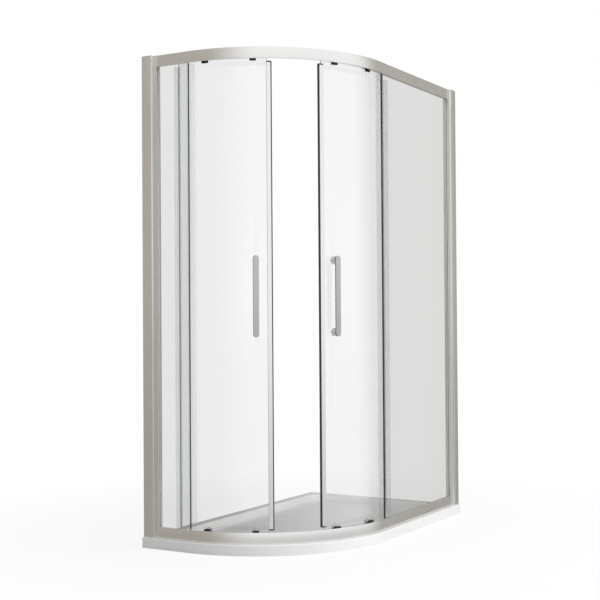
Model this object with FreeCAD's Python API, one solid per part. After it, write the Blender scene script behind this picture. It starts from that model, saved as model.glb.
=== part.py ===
import FreeCAD, Part
import math
import os

# Offset quadrant shower enclosure on a slim tray, in millimetres.
# Every piece is drawn round the centre of the curved front, with z = 0 on the
# tray's deck. Bearings run from 0 degrees, where the curve meets the short
# side, to 90 degrees, where it meets the long side.

# Tray
tray_length = 1310.0
tray_depth = 770.0
tray_radius = 558.0
tray_height = 40.0
tray_edge_round = 4.0
tray_wall_corner_round = 6.0
rim_width_front = 82.0
rim_width_wall = 46.0
basin_depth = 22.0
basin_slope_width = 30.0
basin_corner_round = 60.0

# Waste
waste_bearing = 45.0
waste_from_centre = 372.0
waste_hole_radius = 45.0
waste_flange_radius = 57.0
waste_flange_thickness = 3.0
waste_bore_radius = 38.0
waste_sleeve_wall = 3.0
waste_cover_radius = 54.0
waste_cover_thickness = 4.0
waste_cover_crown = 3.0
waste_cover_gap = 2.0
waste_skirt_radius = 36.0
waste_skirt_depth = 9.0
waste_skirt_wall = 2.0
waste_foot_radius = 3.0
waste_foot_count = 3
waste_crown_share = 0.7
waste_seat_clearance = 0.5
waste_sleeve_setback = 1.0
waste_outlet_radius = 30.0
waste_outlet_length = 9.0

# Frame
frame_height = 1850.0
frame_front_setback = 14.0
tile_allowance = 6.0
rail_height = 44.0
rail_wall = 2.5
rail_rib_height = 37.0
rail_rib_wall = 2.0
rail_depth = 46.0
rail_dam_height = 6.0
rail_dam_wall = 2.0
glass_groove = 12.5
track_width = 12.5
track_lip = 3.0
track_bead = 1.5
track_bead_height = 2.5

# Wall channels and posts
channel_width = 44.0
channel_wall = 2.0
channel_back = 2.5
channel_stand_out = 8.0
channel_inner_reach = 28.0
channel_cap_height = 2.0
channel_hole_radius = 3.0
channel_hole_count = 4
channel_hole_spacing = 500.0
post_visible = 21.0
post_front_step = 7.0
post_back_step = 4.0
post_wall = 2.0
post_fit = 0.3
post_start = 8.0
post_groove_depth = 15.0
post_screw_count = 3
post_screw_spacing = 675.0
post_screw_radius = 2.0
post_screw_head_radius = 4.0
post_screw_head = 1.6
post_screw_setback = 26.0

# Fixed glass
glass_thickness = 6.0
left_glass_overrun = 3.0
right_glass_overrun = -32.0
glass_edge_play = 2.0
glass_seat = 6.0
gasket_height = 34.0

# Seals
seal_wall = 1.25
seal_grip = 6.0
seal_reach = 15.0
seal_fin = 2.0
seal_fin_clearance = 5.0
seal_rail_clearance = 5.0

# Doors
door_glass_gap = 2.0
door_setback = 34.5
left_door_end_gap = 74.9
right_tip_bearing = 33.7
left_door_angle = 43.3
right_door_angle = 49.7
left_swing_x = 14.0
left_swing_y = 11.0
right_swing_x = 55.0
right_swing_y = 22.0
door_opening_angle = 13.0
magnet_seal_width = 4.0
magnet_seal_depth = 8.0
edge_profile_width = 16.5
edge_profile_depth = 16.0
edge_profile_grip = 8.5
edge_profile_clearance = 8.0
edge_cap_height = 5.0
trailing_seal_width = 11.0
trailing_seal_grip = 5.0
trailing_fin_clearance = 4.75

# Handles
handle_angle = 7.0
handle_height = 920.0
handle_length = 305.0
handle_width = 22.0
handle_thickness = 8.0
handle_edge_round = 1.5
handle_stand_off = 26.0
handle_leg_width = 20.0
handle_leg_height = 30.0
handle_leg_inset = 1.0
handle_disc_radius = 9.0
handle_disc_thickness = 3.0
handle_screw_radius = 3.0
handle_screw_reach = 18.0
handle_screw_head = 2.0
handle_screw_head_radius = 6.0
handle_glass_hole_radius = 6.0

# Rollers
front_roller_angle = 7.9
rear_roller_angle = 28.9
wheel_radius = 10.0
wheel_width = 4.0
wheel_bore_radius = 2.7
wheel_track_gap = 0.3
wheel_bead_gap = 3.1
wheel_groove = 0.8
wheel_groove_width = 1.2
axle_radius = 2.5
axle_head_radius = 4.0
axle_head = 0.8
wheel_side_gap = 0.4
bracket_width = 24.0
bracket_thickness = 2.0
bracket_nose = 11.0
bracket_nose_gap = 1.0
bracket_nose_height = 8.0
bracket_foot = 12.0
inner_cap_radius = 11.0
inner_cap_thickness = 8.0
inner_cap_bolt_radius = 4.0
top_glass_hole_radius = 5.0
glass_relief = 0.25

# Quick-release bottom rollers
release_travel = 6.0
housing_depth = 11.0
housing_width = 26.0
housing_wall = 2.5
housing_cap = 6.0
slider_width = 14.0
slider_depth = 7.0
slider_height = 22.0
slider_below_axle = 7.3
slider_clearance = 0.5
release_button_radius = 3.25
release_button_rise = 6.0
release_hole_radius = 8.0
release_hole_drop = 2.0
release_slot_half = 4.0
release_shoulder = 1.0
roller_screw_radius = 2.0
roller_screw_head_radius = 3.5
roller_screw_head = 1.5
roller_screw_offset = 9.5
roller_screw_height = 42.0
roller_screw_hole_radius = 3.0
roller_screw_grip = 8.0

# Rail fixings
end_bracket_length = 20.0
end_bracket_width = 18.0
end_bracket_thickness = 2.0
end_bracket_offset = 3.0
end_screw_radius = 2.0
end_screw_head_radius = 3.5
end_screw_head = 1.5
stop_length = 12.0
stop_gap = 1.0
stop_inset = 2.0
end_screw_stand = 0.5
end_screw_share = 0.6
end_screw_rise = 14.0

# Radii of the frame, worked out from the front of the tray inwards
rail_front = tray_radius - frame_front_setback
groove_front = rail_front - rail_wall
groove_back = groove_front - glass_groove
rib_back = groove_back - rail_rib_wall
track_back = rib_back - track_width
rail_back = rail_front - rail_depth
fixed_glass_mid = (groove_front + groove_back) / 2
fixed_glass_front = fixed_glass_mid + glass_thickness / 2
fixed_glass_back = fixed_glass_mid - glass_thickness / 2
door_front = rail_front - door_setback
door_back = door_front - glass_thickness
door_mid = (door_front + door_back) / 2
channel_front = rail_front + channel_stand_out
channel_rear = rail_front - channel_inner_reach

# Reach of the two straight sides, from the curve's centre to the tiled wall
left_reach = tray_depth - tray_radius - tile_allowance
right_reach = tray_length - tray_radius - tile_allowance
frame_side_width = channel_width + post_visible

# The left door's tip, from its trailing edge's gap to the post
left_door_end = left_reach - frame_side_width - left_door_end_gap
left_tip_bearing = left_door_angle - math.degrees(math.asin(left_door_end / door_mid))

# The handle's screws sit in the middle of its legs, which end with the grip
handle_screw_spacing = handle_length - 2 * handle_leg_inset - handle_leg_height

# Places that several pieces share
wheel_mid = track_back + track_bead + wheel_bead_gap + wheel_width / 2
lip_under = rail_rib_height - track_lip
wheel_height = lip_under - wheel_track_gap - wheel_radius
nose_bottom = rail_rib_height + bracket_nose_gap
nose_top = nose_bottom + bracket_nose_height
door_bottom = rail_dam_height + door_glass_gap
door_top = frame_height - door_bottom
bracket_front = door_front + bracket_thickness
housing_top = nose_top
slider_bottom = wheel_height - slider_below_axle
slider_top = slider_bottom + slider_height
floor_level = -basin_depth
curve_centre = FreeCAD.Vector(tray_radius - tray_length / 2, tray_radius - tray_depth / 2, tray_height)

ORIGIN = FreeCAD.Vector(0, 0, 0)
UP = FreeCAD.Vector(0, 0, 1)
OUTWARD = FreeCAD.Vector(-1, 0, 0)
ALONG = FreeCAD.Vector(0, 1, 0)


def fused(solids):
    """Join overlapping or touching solids of one piece and clean their seams."""
    return solids[0].multiFuse(solids[1:]).removeSplitter()


def turned(shape, bearing):
    """Turn a shape drawn at bearing 0 round the curve's centre."""
    copy = shape.copy()
    copy.rotate(ORIGIN, UP, bearing)
    return copy


def mirrored(shape):
    """Swap the short and the long side of the plan."""
    return shape.mirror(ORIGIN, FreeCAD.Vector(1, -1, 0))


def upended(shape):
    """Turn a bottom-rail piece over for the top rail."""
    return shape.mirror(FreeCAD.Vector(0, 0, frame_height / 2), UP)


def block(inner, outer, start, end, bottom, top):
    """A box at bearing 0: two radii, a stretch along the side, two heights."""
    corner = FreeCAD.Vector(-outer, start, bottom)
    return Part.makeBox(outer - inner, end - start, top - bottom, corner)


def bar(radius, inner, outer, along, height):
    """A round bar that points outwards at bearing 0."""
    foot = FreeCAD.Vector(-inner, along, height)
    return Part.makeCylinder(radius, outer - inner, foot, OUTWARD)


def section_face(points):
    """A flat face from corners given as radius and height, at bearing 0."""
    corners = [FreeCAD.Vector(-radius, 0, height) for radius, height in points]
    return Part.Face(Part.makePolygon(corners + corners[:1]))


def swept_face(face, from_bearing, to_bearing):
    """Spin a section round the curve's centre between two bearings."""
    start = turned(face, from_bearing)
    return start.revolve(ORIGIN, UP, to_bearing - from_bearing)


def curved_slab(inner, outer, from_bearing, to_bearing, bottom, top):
    """A curved plate between two radii, two bearings and two heights."""
    face = section_face([(inner, bottom), (outer, bottom), (outer, top), (inner, top)])
    return swept_face(face, from_bearing, to_bearing)


def arc_angle(length, radius):
    """The bearing that a length covers on a radius."""
    return math.degrees(length / radius)


def centred_ring(outer, inner, bottom, height):
    """A flat ring round the vertical through the origin."""
    foot = FreeCAD.Vector(0, 0, bottom)
    return Part.makeCylinder(outer, height, foot).cut(Part.makeCylinder(inner, height, foot))


def plan_outline(front_inset, wall_inset, corner, height):
    """The tray's outline, drawn in by one width in front and one at the walls."""
    left = -tray_radius + front_inset
    back = tray_depth - tray_radius - wall_inset
    right = tray_length - tray_radius - wall_inset
    radius = tray_radius - front_inset
    half = math.sqrt(0.5)

    def at(x, y):
        return FreeCAD.Vector(x, y, height)

    edges = [
        Part.LineSegment(at(left, 0), at(left, back - corner)),
        Part.Arc(
            at(left, back - corner),
            at(left + corner * (1 - half), back - corner * (1 - half)),
            at(left + corner, back),
        ),
        Part.LineSegment(at(left + corner, back), at(right - corner, back)),
        Part.Arc(
            at(right - corner, back),
            at(right - corner * (1 - half), back - corner * (1 - half)),
            at(right, back - corner),
        ),
        Part.LineSegment(at(right, back - corner), at(right, -radius + corner)),
        Part.Arc(
            at(right, -radius + corner),
            at(right - corner * (1 - half), -radius + corner * (1 - half)),
            at(right - corner, -radius),
        ),
        Part.LineSegment(at(right - corner, -radius), at(0, -radius)),
        Part.Arc(at(0, -radius), at(-radius * half, -radius * half), at(left, 0)),
    ]
    return Part.Wire([edge.toShape() for edge in edges])


def waste_place():
    """The middle of the waste, in plan."""
    return turned(Part.Vertex(-waste_from_centre, 0, 0), waste_bearing).Point


def shower_tray():
    """Slab with a rounded top edge, a sloped basin and a seat for the waste."""
    outline = Part.Face(plan_outline(0, 0, tray_wall_corner_round, -tray_height))
    slab = outline.extrude(FreeCAD.Vector(0, 0, tray_height))
    top_edges = [edge for edge in slab.Edges if edge.BoundBox.ZMin > -tray_edge_round]
    slab = slab.makeFillet(tray_edge_round, top_edges)
    inner_corner = basin_corner_round - basin_slope_width
    rim = plan_outline(rim_width_front, rim_width_wall, basin_corner_round, 0)
    foot = plan_outline(
        rim_width_front + basin_slope_width,
        rim_width_wall + basin_slope_width,
        inner_corner,
        floor_level,
    )
    basin = Part.makeLoft([rim, foot], True, True)
    seat_foot = waste_place() + FreeCAD.Vector(0, 0, floor_level - waste_flange_thickness)
    seat = Part.makeCylinder(waste_flange_radius + waste_seat_clearance, waste_flange_thickness, seat_foot)
    hole_foot = waste_place() + FreeCAD.Vector(0, 0, -tray_height)
    hole = Part.makeCylinder(waste_hole_radius, tray_height, hole_foot)
    return slab.cut(basin).cut(seat).cut(hole)


def waste_flange():
    """Ring seated in the basin, with a sleeve down to a narrower outlet."""
    seat = floor_level - waste_flange_thickness
    sleeve_radius = waste_bore_radius + waste_sleeve_wall
    ring = centred_ring(waste_flange_radius, waste_bore_radius, seat, waste_flange_thickness)
    sleeve_foot = waste_sleeve_setback - tray_height
    sleeve = centred_ring(sleeve_radius, waste_bore_radius, sleeve_foot, seat - sleeve_foot)
    outlet = centred_ring(sleeve_radius, waste_outlet_radius, sleeve_foot, waste_outlet_length)
    flange = fused([ring, sleeve, outlet])
    flange.translate(waste_place())
    return flange


def waste_cover():
    """Low domed lid on three feet, with a skirt that centres it in the bore."""
    under = floor_level + waste_cover_gap
    plate = Part.makeCylinder(waste_cover_radius, waste_cover_thickness, FreeCAD.Vector(0, 0, under))
    top = under + waste_cover_thickness
    crown = Part.makeCone(
        waste_cover_radius, waste_cover_radius * waste_crown_share, waste_cover_crown,
        FreeCAD.Vector(0, 0, top)
    )
    skirt_inside = waste_skirt_radius - waste_skirt_wall
    skirt = centred_ring(waste_skirt_radius, skirt_inside, under - waste_skirt_depth, waste_skirt_depth)
    foot_ring = (waste_cover_radius + waste_bore_radius) / 2
    feet = []
    for index in range(waste_foot_count):
        place = FreeCAD.Vector(-foot_ring, 0, floor_level)
        foot = Part.makeCylinder(waste_foot_radius, waste_cover_gap, place)
        feet.append(turned(foot, 360 * index / waste_foot_count))
    cover = fused([plate, crown, skirt] + feet)
    cover.translate(waste_place())
    return cover


def rail_section():
    """The rail's extrusion: fascia, base, glass groove, roller track and dam."""
    return section_face([
        (rail_front, 0),
        (rail_front, rail_height),
        (groove_front, rail_height),
        (groove_front, rail_wall),
        (groove_back, rail_wall),
        (groove_back, rail_rib_height),
        (track_back, rail_rib_height),
        (track_back, lip_under - track_bead_height),
        (track_back + track_bead, lip_under - track_bead_height),
        (track_back + track_bead, lip_under),
        (rib_back, lip_under),
        (rib_back, rail_wall),
        (rail_back + rail_dam_wall, rail_wall),
        (rail_back + rail_dam_wall, rail_dam_height),
        (rail_back, rail_dam_height),
        (rail_back, 0),
    ])


def bottom_rail():
    """The extrusion bent through a quarter turn, with its two straight ends."""
    section = rail_section()
    left_run = section.extrude(FreeCAD.Vector(0, left_reach - frame_side_width, 0))
    curve = swept_face(section, 0, 90)
    right_run = mirrored(section.extrude(FreeCAD.Vector(0, right_reach - frame_side_width, 0)))
    return fused([left_run, curve, right_run])


def post_screw_heights():
    """Heights of the locking screws, spread evenly about the frame's middle."""
    first = (frame_height - (post_screw_count - 1) * post_screw_spacing) / 2
    return [first + index * post_screw_spacing for index in range(post_screw_count)]


def wall_channel(reach):
    """U channel for one wall, with a row of fixing holes in its back."""
    start = reach - channel_width
    outer = block(channel_rear, channel_front, start, reach, 0, frame_height)
    hollow = block(
        channel_rear + channel_wall,
        channel_front - channel_wall,
        start,
        reach - channel_back,
        0,
        frame_height,
    )
    channel = outer.cut(hollow)
    middle = (channel_front + channel_rear) / 2
    first = (frame_height - (channel_hole_count - 1) * channel_hole_spacing) / 2
    for index in range(channel_hole_count):
        foot = FreeCAD.Vector(-middle, reach - channel_back, first + index * channel_hole_spacing)
        channel = channel.cut(Part.makeCylinder(channel_hole_radius, channel_back, foot, ALONG))
    return channel


def wall_post(reach):
    """Glazing post that slides in the wall channel and grips the fixed glass."""
    sleeve_front = channel_front - channel_wall - post_fit
    sleeve_rear = channel_rear + channel_wall + post_fit
    head_front = channel_front - post_front_step
    head_rear = channel_rear + post_back_step
    shoulder = reach - channel_width
    nose = shoulder - post_visible
    sleeve_end = reach - post_start
    head = block(head_rear, head_front, nose, shoulder, 0, frame_height)
    front_leg = block(sleeve_front - post_wall, sleeve_front, shoulder, sleeve_end, 0, frame_height)
    rear_leg = block(sleeve_rear, sleeve_rear + post_wall, shoulder, sleeve_end, 0, frame_height)
    web = block(sleeve_rear, sleeve_front, shoulder, shoulder + post_wall, 0, frame_height)
    groove = block(groove_back, groove_front, nose, nose + post_groove_depth, 0, frame_height)
    post = fused([head, web, front_leg, rear_leg]).cut(groove)
    along = reach - post_screw_setback
    for height in post_screw_heights():
        hole = bar(post_screw_radius, sleeve_rear, sleeve_rear + post_wall, along, height)
        post = post.cut(hole)
    return post


def drilled_channel(reach):
    """The wall channel with clearance for the screws that lock its post."""
    channel = wall_channel(reach)
    along = reach - post_screw_setback
    for height in post_screw_heights():
        hole = bar(post_screw_radius, channel_rear, channel_rear + channel_wall, along, height)
        channel = channel.cut(hole)
    return channel


def post_screws(reach):
    """Screws from inside the shower that lock the post in its channel."""
    tip = channel_rear + channel_wall + post_fit + post_wall
    screws = []
    for height in post_screw_heights():
        along = reach - post_screw_setback
        head = bar(post_screw_head_radius, channel_rear - post_screw_head, channel_rear, along, height)
        shank = bar(post_screw_radius, channel_rear, tip, along, height)
        screws.append(fused([head, shank]))
    return screws


def channel_cap(reach):
    """Moulded cap that closes the top of one wall channel."""
    cap = block(channel_rear, channel_front, reach - channel_width, reach, frame_height,
                frame_height + channel_cap_height)
    upright = [edge for edge in cap.Edges if edge.BoundBox.ZLength > channel_cap_height / 2]
    return cap.makeFillet(channel_wall, upright)


def fixed_glass(reach, overrun):
    """Flat pane from the post's groove to its free edge beside the curve."""
    seated_edge = reach - frame_side_width + post_groove_depth - glass_edge_play
    return block(
        fixed_glass_back, fixed_glass_front, -overrun, seated_edge, glass_seat, frame_height - glass_seat
    )


def glazing_gasket(reach, overrun):
    """U strips that hold the pane in both rails, and one in the post."""
    pane = fixed_glass(reach, overrun)
    nose = reach - frame_side_width
    foot = block(groove_back, groove_front, -overrun, nose, rail_wall, rail_wall + gasket_height).cut(pane)
    upright = block(
        groove_back, groove_front, nose, nose + post_groove_depth, glass_seat, frame_height - glass_seat
    ).cut(pane)
    return [foot, upended(foot), upright]


def fixed_glass_seal(overrun):
    """Push-on seal on the pane's free edge, with a fin towards the door."""
    bottom = rail_height + seal_rail_clearance
    top = frame_height - bottom
    edge = -overrun
    front = fixed_glass_front + seal_wall
    back = fixed_glass_back - seal_wall
    clip = block(back, front, edge - seal_wall, edge + seal_grip, bottom, top)
    slot = block(fixed_glass_back, fixed_glass_front, edge, edge + seal_grip, bottom, top)
    arm = block(back, back + seal_wall, edge - seal_reach, edge, bottom, top)
    fin = block(
        door_front + seal_fin_clearance, back + seal_wall, edge - seal_reach, edge - seal_reach + seal_fin,
        bottom, top
    )
    return fused([clip.cut(slot), arm, fin])


def door_glass(tip, sweep):
    """Curved pane of one door, drilled for its handle and its rollers."""
    leading = tip - arc_angle(magnet_seal_width + edge_profile_width - edge_profile_grip, door_mid)
    pane = curved_slab(door_back, door_front, tip - sweep, leading, door_bottom, door_top)
    through = (door_back - glass_thickness, door_front + glass_thickness)
    for offset in (-handle_screw_spacing / 2, handle_screw_spacing / 2):
        hole = bar(handle_glass_hole_radius, *through, 0, handle_height + offset)
        pane = pane.cut(turned(hole, tip - handle_angle))
    for from_tip in (front_roller_angle, rear_roller_angle):
        top_hole = bar(top_glass_hole_radius, *through, 0, frame_height - wheel_height)
        pane = pane.cut(turned(top_hole, tip - from_tip))
        release_height = wheel_height - release_hole_drop
        release_hole = bar(release_hole_radius, *through, 0, release_height)
        pane = pane.cut(turned(release_hole, tip - from_tip))
        for along in (-roller_screw_offset, roller_screw_offset):
            screw_hole = bar(roller_screw_hole_radius, *through, along, roller_screw_height)
            pane = pane.cut(turned(screw_hole, tip - from_tip))
    return pane


def edge_profile_span():
    """Bottom and top of the upright profile on a door's leading edge."""
    bottom = rail_height + edge_profile_clearance
    return bottom, frame_height - bottom


def edge_profile(tip):
    """Upright profile that stiffens the leading edge and holds the magnet."""
    bottom, top = edge_profile_span()
    outer_end = tip - arc_angle(magnet_seal_width, door_mid)
    inner_end = outer_end - arc_angle(edge_profile_width, door_mid)
    front = door_mid + edge_profile_depth / 2
    back = door_mid - edge_profile_depth / 2
    body = curved_slab(back, front, inner_end, outer_end, bottom, top)
    slot_end = inner_end + arc_angle(edge_profile_grip, door_mid)
    slot = curved_slab(door_back, door_front, inner_end, slot_end, bottom, top)
    return body.cut(slot)


def edge_profile_caps(tip):
    """Moulded caps on both ends of the leading profile."""
    bottom, top = edge_profile_span()
    outer_end = tip - arc_angle(magnet_seal_width, door_mid)
    inner_end = outer_end - arc_angle(edge_profile_width, door_mid)
    front = door_mid + edge_profile_depth / 2
    back = door_mid - edge_profile_depth / 2
    caps = []
    for low in (bottom - edge_cap_height, top):
        cap = curved_slab(back, front, inner_end, outer_end, low, low + edge_cap_height)
        slot_end = inner_end + arc_angle(edge_profile_grip, door_mid)
        slot = curved_slab(door_back, door_front, inner_end, slot_end, low, low + edge_cap_height)
        caps.append(cap.cut(slot))
    return caps


def magnet_seal(tip):
    """Magnetic strip on the leading profile that meets the other door's."""
    bottom, top = edge_profile_span()
    start = tip - arc_angle(magnet_seal_width, door_mid)
    front = door_mid + magnet_seal_depth / 2
    back = door_mid - magnet_seal_depth / 2
    return curved_slab(back, front, start, tip, bottom, top)


def trailing_seal(tip, sweep):
    """Push-on seal on the trailing edge, with a fin towards the fixed pane."""
    bottom = rail_height + seal_rail_clearance
    top = frame_height - bottom
    edge = tip - sweep
    grip_end = edge + arc_angle(trailing_seal_grip, door_mid)
    tail = edge - arc_angle(trailing_seal_width - trailing_seal_grip, door_mid)
    front = door_front + seal_wall
    back = door_back - seal_wall
    clip = curved_slab(back, front, edge - arc_angle(seal_wall, door_mid), grip_end, bottom, top)
    slot = curved_slab(door_back, door_front, edge, grip_end, bottom, top)
    tail_start = tail + arc_angle(seal_fin, door_mid)
    arm = curved_slab(door_mid - seal_wall / 2, door_mid + seal_wall / 2, tail, edge, bottom, top)
    fin = curved_slab(
        door_mid - seal_wall / 2, fixed_glass_back - trailing_fin_clearance, tail, tail_start, bottom, top
    )
    return fused([clip.cut(slot), arm, fin])


def round_ended(inner, outer, width, height, middle):
    """An upright bar with round ends: two radii, its width, height and middle."""
    half = (height - width) / 2
    body = block(inner, outer, -width / 2, width / 2, middle - half, middle + half)
    ends = [bar(width / 2, inner, outer, 0, middle + side * half) for side in (-1, 1)]
    return fused([body] + ends)


def handle_bar():
    """Flat grip with round ends, at bearing 0."""
    inner = door_front + handle_stand_off
    outer = inner + handle_thickness
    grip = round_ended(inner, outer, handle_width, handle_length, handle_height)
    rims = [edge for edge in grip.Edges if edge.BoundBox.XLength < handle_edge_round]
    return grip.makeFillet(handle_edge_round, rims)


def handle_legs():
    """Two round-ended legs between the glass and the grip, drilled for screws."""
    legs = []
    for side in (-1, 1):
        height = handle_height + side * handle_screw_spacing / 2
        grip_back = door_front + handle_stand_off
        leg = round_ended(door_front, grip_back, handle_leg_width, handle_leg_height, height)
        hole = bar(handle_screw_radius, door_front, door_front + handle_screw_reach, 0, height)
        legs.append(leg.cut(hole))
    return legs


def handle_discs():
    """Two backing discs inside the glass, countersunk flat for the screws."""
    discs = []
    for side in (-1, 1):
        height = handle_height + side * handle_screw_spacing / 2
        rear = door_back - handle_disc_thickness
        disc = bar(handle_disc_radius, rear, door_back - glass_relief, 0, height)
        hole = bar(handle_screw_radius, rear, door_back, 0, height)
        recess = bar(handle_screw_head_radius, rear, rear + handle_screw_head, 0, height)
        discs.append(disc.cut(hole).cut(recess))
    return discs


def handle_screws():
    """Two screws from inside the shower, through the glass, into the legs."""
    screws = []
    for side in (-1, 1):
        height = handle_height + side * handle_screw_spacing / 2
        rear = door_back - handle_disc_thickness
        tip = door_front + handle_screw_reach
        head = bar(handle_screw_head_radius, rear, rear + handle_screw_head, 0, height)
        shank = bar(handle_screw_radius, rear, tip, 0, height)
        screws.append(fused([head, shank]))
    return screws


def roller_bracket():
    """Bottom roller's outer plate, with a nose over the track's lip."""
    half = bracket_width / 2
    plate = block(door_front, bracket_front, -half, half, bracket_foot, nose_top)
    nose = block(bracket_front, door_front + bracket_nose, -half, half, nose_bottom, nose_top)
    return fused([plate, nose])


def bottom_bracket():
    """Outer plate with a slot for the sprung axle and tapped screw holes."""
    bracket = roller_bracket()
    half = release_slot_half
    slot = block(
        door_front, bracket_front, -half, half,
        wheel_height - release_travel - half, wheel_height + half
    )
    bracket = bracket.cut(slot)
    tip = door_front + roller_screw_grip
    for along in (-roller_screw_offset, roller_screw_offset):
        bracket = bracket.cut(bar(roller_screw_radius, door_front, tip, along, roller_screw_height))
    return bracket


def top_bracket():
    """Outer plate of a top roller, bored for its axle bolt."""
    bore = bar(inner_cap_bolt_radius, door_front, bracket_front, 0, wheel_height)
    return upended(roller_bracket().cut(bore))


def top_axle():
    """Round inner cap and shouldered bolt that carry a top wheel."""
    wheel_back = wheel_mid - wheel_width / 2
    wheel_front = wheel_mid + wheel_width / 2
    rear = door_back - inner_cap_thickness
    cap = bar(inner_cap_radius, rear, door_back - glass_relief, 0, wheel_height)
    bolt = bar(inner_cap_bolt_radius, rear, bracket_front, 0, wheel_height)
    spindle = bar(axle_radius, bracket_front, wheel_front + wheel_side_gap, 0, wheel_height)
    shoulder = bar(axle_head_radius, bracket_front, wheel_back - wheel_side_gap, 0, wheel_height)
    head_start = wheel_front + wheel_side_gap
    head = bar(axle_head_radius, head_start, head_start + axle_head, 0, wheel_height)
    return upended(fused([cap, bolt, shoulder, spindle, head]))


def wheel():
    """Grooved running wheel under the bottom rail's lip, at bearing 0."""
    back = wheel_mid - wheel_width / 2
    tyre = bar(wheel_radius, back, back + wheel_width, 0, wheel_height)
    bore = bar(wheel_bore_radius, back, back + wheel_width, 0, wheel_height)
    groove_start = wheel_mid - wheel_groove_width / 2
    groove_end = wheel_mid + wheel_groove_width / 2
    rim = bar(wheel_radius, groove_start, groove_end, 0, wheel_height)
    core = bar(wheel_radius - wheel_groove, groove_start, groove_end, 0, wheel_height)
    return tyre.cut(bore).cut(rim.cut(core))


def release_housing():
    """Inner housing that guides the sprung slider of a bottom roller."""
    rear = door_back - housing_depth
    half = housing_width / 2
    gap = slider_width / 2 + slider_clearance
    body = block(rear, door_back - glass_relief, -half, half, bracket_foot, housing_top)
    cavity = block(rear + housing_wall, door_back, -gap, gap, bracket_foot, housing_top - housing_cap)
    slider_mid = rear + housing_wall + slider_clearance + slider_depth / 2
    stem_foot = FreeCAD.Vector(-slider_mid, 0, housing_top - housing_cap)
    stem_hole = Part.makeCylinder(release_button_radius + slider_clearance, housing_cap, stem_foot)
    housing = body.cut(cavity).cut(stem_hole)
    for along in (-roller_screw_offset, roller_screw_offset):
        housing = housing.cut(bar(roller_screw_radius, rear, door_back, along, roller_screw_height))
    return housing


def release_slider():
    """Sprung slider: a block with the wheel's axle and a push button on top."""
    rear = door_back - housing_depth + housing_wall + slider_clearance
    half = slider_width / 2
    body = block(rear, rear + slider_depth, -half, half, slider_bottom, slider_top)
    wheel_back = wheel_mid - wheel_width / 2
    wheel_front = wheel_mid + wheel_width / 2
    spindle = bar(axle_radius, rear, wheel_front + wheel_side_gap, 0, wheel_height)
    shoulder = bar(axle_radius + release_shoulder, rear, wheel_back - wheel_side_gap, 0, wheel_height)
    head_start = wheel_front + wheel_side_gap
    head = bar(axle_head_radius, head_start, head_start + axle_head, 0, wheel_height)
    stem_foot = FreeCAD.Vector(-rear - slider_depth / 2, 0, slider_top)
    stem_height = housing_top + release_button_rise - slider_top
    stem = Part.makeCylinder(release_button_radius, stem_height, stem_foot)
    return fused([body, shoulder, spindle, head, stem])


def roller_screws():
    """Pair of screws that clamp housing, glass and outer plate together."""
    rear = door_back - housing_depth
    screws = []
    for along in (-roller_screw_offset, roller_screw_offset):
        head = bar(roller_screw_head_radius, rear - roller_screw_head, rear, along, roller_screw_height)
        shank = bar(roller_screw_radius, rear, door_front + roller_screw_grip, along, roller_screw_height)
        screws.append(fused([head, shank]))
    return screws


def end_bracket_parts(reach):
    """Angle bracket and its two screws, where a bottom rail meets a post."""
    nose = reach - frame_side_width
    front = rib_back - end_bracket_offset
    rear = front - end_bracket_width
    base_top = rail_wall + end_bracket_thickness
    flat = block(rear, front, nose - end_bracket_length, nose, rail_wall, base_top)
    upright = block(
        channel_rear + post_back_step, front, nose - end_bracket_thickness, nose,
        rail_wall, rail_wall + end_bracket_length
    )
    bracket = fused([flat, upright])
    middle = (front + rear) / 2
    along = nose - end_bracket_length * end_screw_share
    down_head = Part.makeCylinder(
        end_screw_head_radius, end_screw_head, FreeCAD.Vector(-middle, along, base_top)
    )
    down_shank = Part.makeCylinder(
        end_screw_radius, base_top - end_screw_stand, FreeCAD.Vector(-middle, along, end_screw_stand)
    )
    down_screw = fused([down_head, down_shank])
    post_side = (channel_rear + post_back_step + front) / 2
    height = rail_wall + end_screw_rise
    face = nose - end_bracket_thickness
    side_head = Part.makeCylinder(
        end_screw_head_radius, end_screw_head,
        FreeCAD.Vector(-post_side, face - end_screw_head, height), ALONG
    )
    side_shank = Part.makeCylinder(
        end_screw_radius, end_bracket_thickness + post_wall, FreeCAD.Vector(-post_side, face, height), ALONG
    )
    side_screw = fused([side_head, side_shank])
    bracket = bracket.cut(down_shank).cut(side_shank)
    return bracket, [down_screw, side_screw], [down_shank, side_shank]


def door_stop(tip, pivot):
    """Rubber stop in the bottom track, just past the rear wheel's last place."""
    rear_wheel = turned(Part.Vertex(-wheel_mid, 0, 0), tip - rear_roller_angle)
    rear_wheel.rotate(pivot, UP, -door_opening_angle)
    along = rear_wheel.Point.y + bracket_width / 2 + stop_gap
    inner = track_back + stop_inset
    return block(inner, rib_back, along, along + stop_length, rail_wall, lip_under - track_bead_height)


def save(node, solids):
    """Write one node, moved to the row's origin under the tray's middle."""
    placed = []
    for solid in solids:
        copy = solid.copy()
        copy.translate(curve_centre)
        placed.append(copy)
    shape = placed[0] if len(placed) == 1 else Part.makeCompound(placed)
    shape.exportStep("parts/" + node + ".step")


def as_is(shape):
    """The short side needs no mirroring."""
    return shape


def save_side(side, reach, overrun, put):
    """The fixed pieces of one straight side."""
    post = wall_post(reach)
    for hole in end_bracket_parts(reach)[2]:
        post = post.cut(hole).cut(upended(hole))
    save(side + "_wall_channel", [put(drilled_channel(reach))])
    save(side + "_wall_post", [put(post)])
    save(side + "_fixed_glass", [put(fixed_glass(reach, overrun))])
    save(side + "_glazing_gasket", [put(strip) for strip in glazing_gasket(reach, overrun)])
    save(side + "_fixed_glass_seal", [put(fixed_glass_seal(overrun))])


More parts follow.
